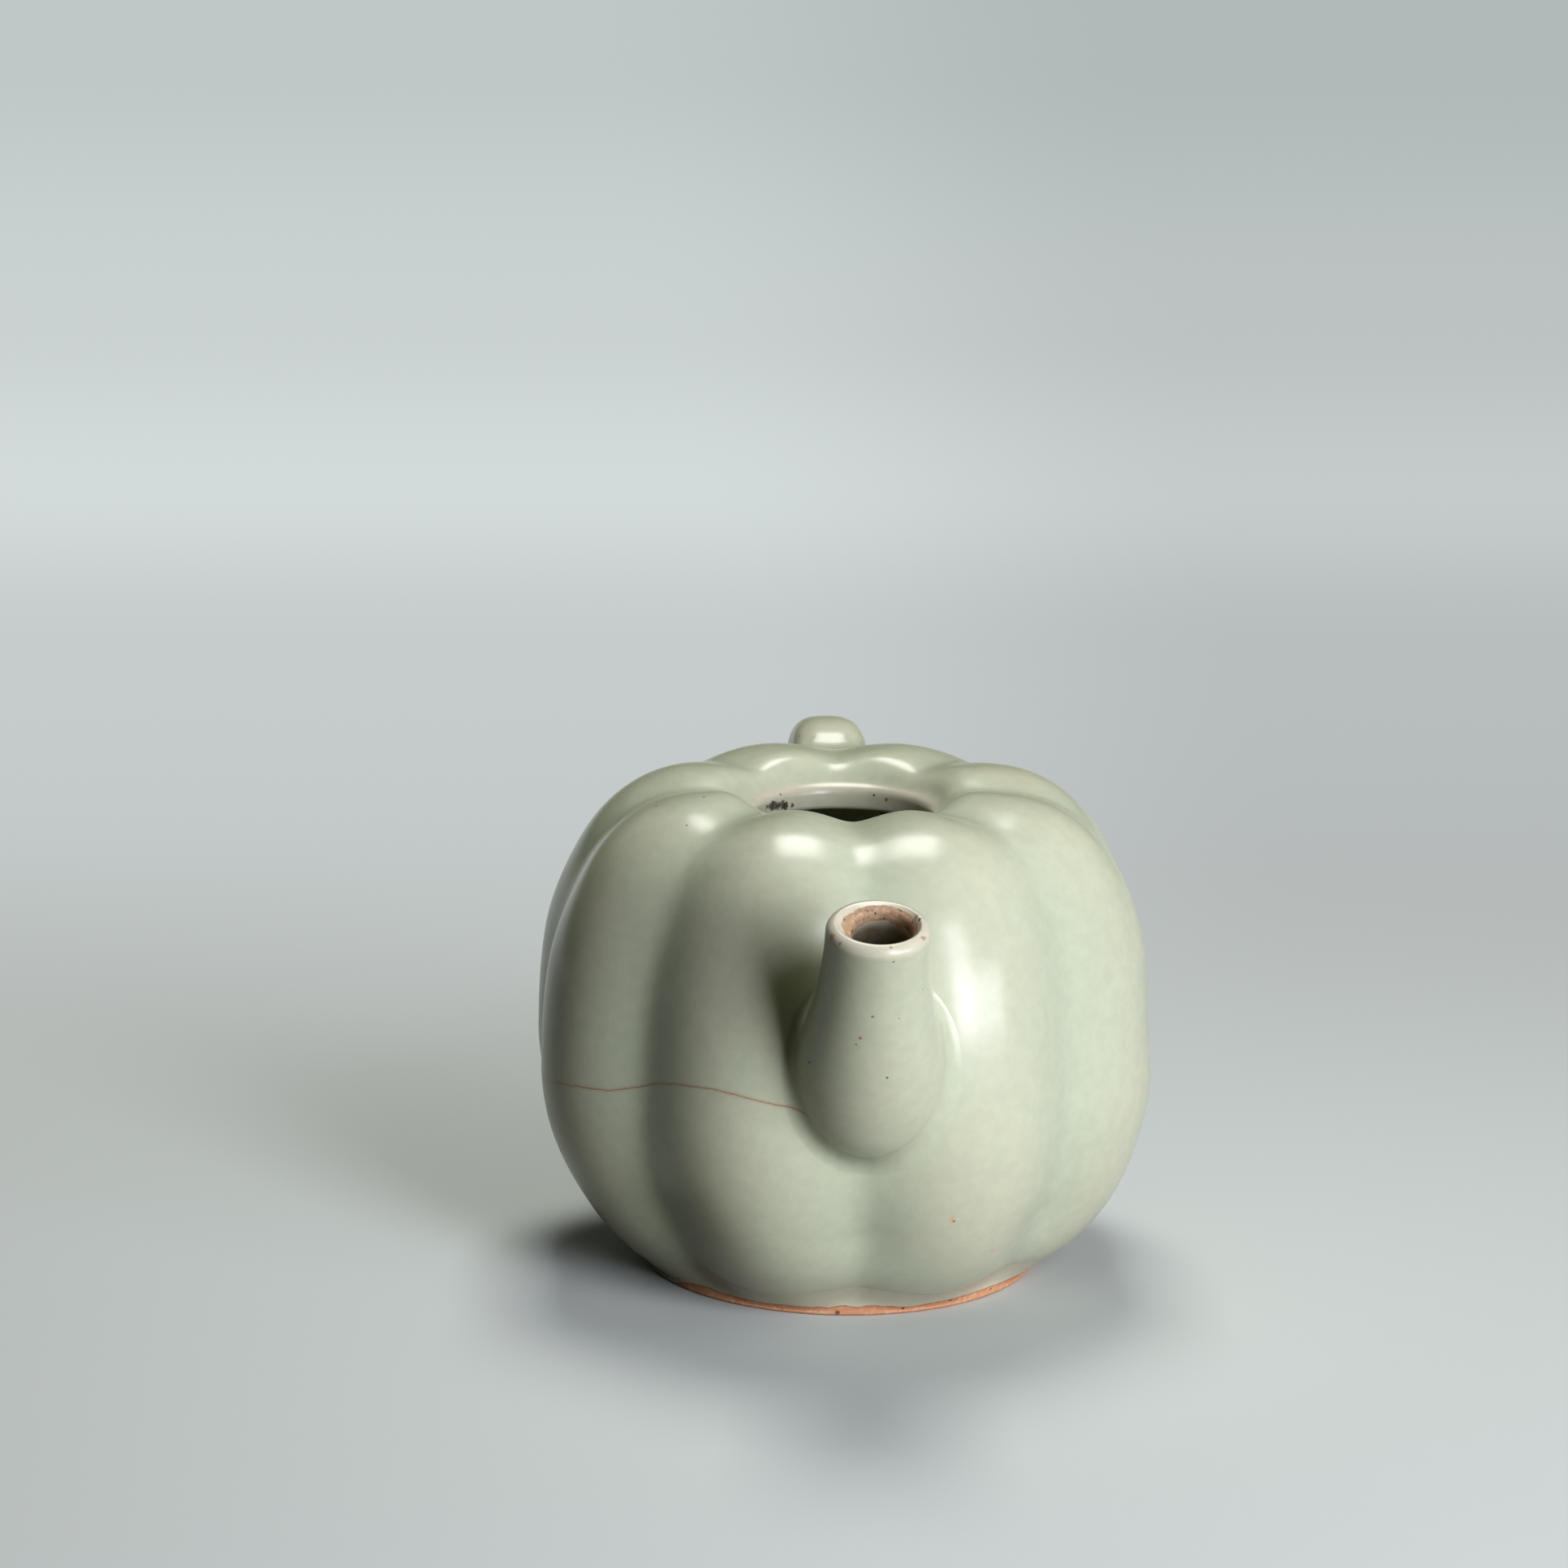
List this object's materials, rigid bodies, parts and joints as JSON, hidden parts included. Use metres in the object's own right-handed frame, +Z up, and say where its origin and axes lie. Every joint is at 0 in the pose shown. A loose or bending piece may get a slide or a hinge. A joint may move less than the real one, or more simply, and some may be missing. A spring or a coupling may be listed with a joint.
{
  "type": "melon-shaped ewer",
  "caption": "Lobed melon-shaped stoneware ewer with a round mouth sunk between the lobes, a short curved spout, a loop handle and a low foot ring.",
  "frame": {"origin": "on the body's axis, in the plane that the foot ring stands on", "axes": "+Z up through the mouth; the spout points along -Y and the handle along +Y"},
  "size_m": [0.1284, 0.1949, 0.1048],
  "materials": {
    "celadon_glaze": "glossy to satin grey-green glaze",
    "bare_clay": "unglazed, burnt orange-buff"
  },
  "bodies": {
    "root": {"foot_ring": "bare_clay", "lower_body": "celadon_glaze", "upper_body": "celadon_glaze", "spout": "celadon_glaze", "handle": "celadon_glaze"}
  },
  "joints": []
}
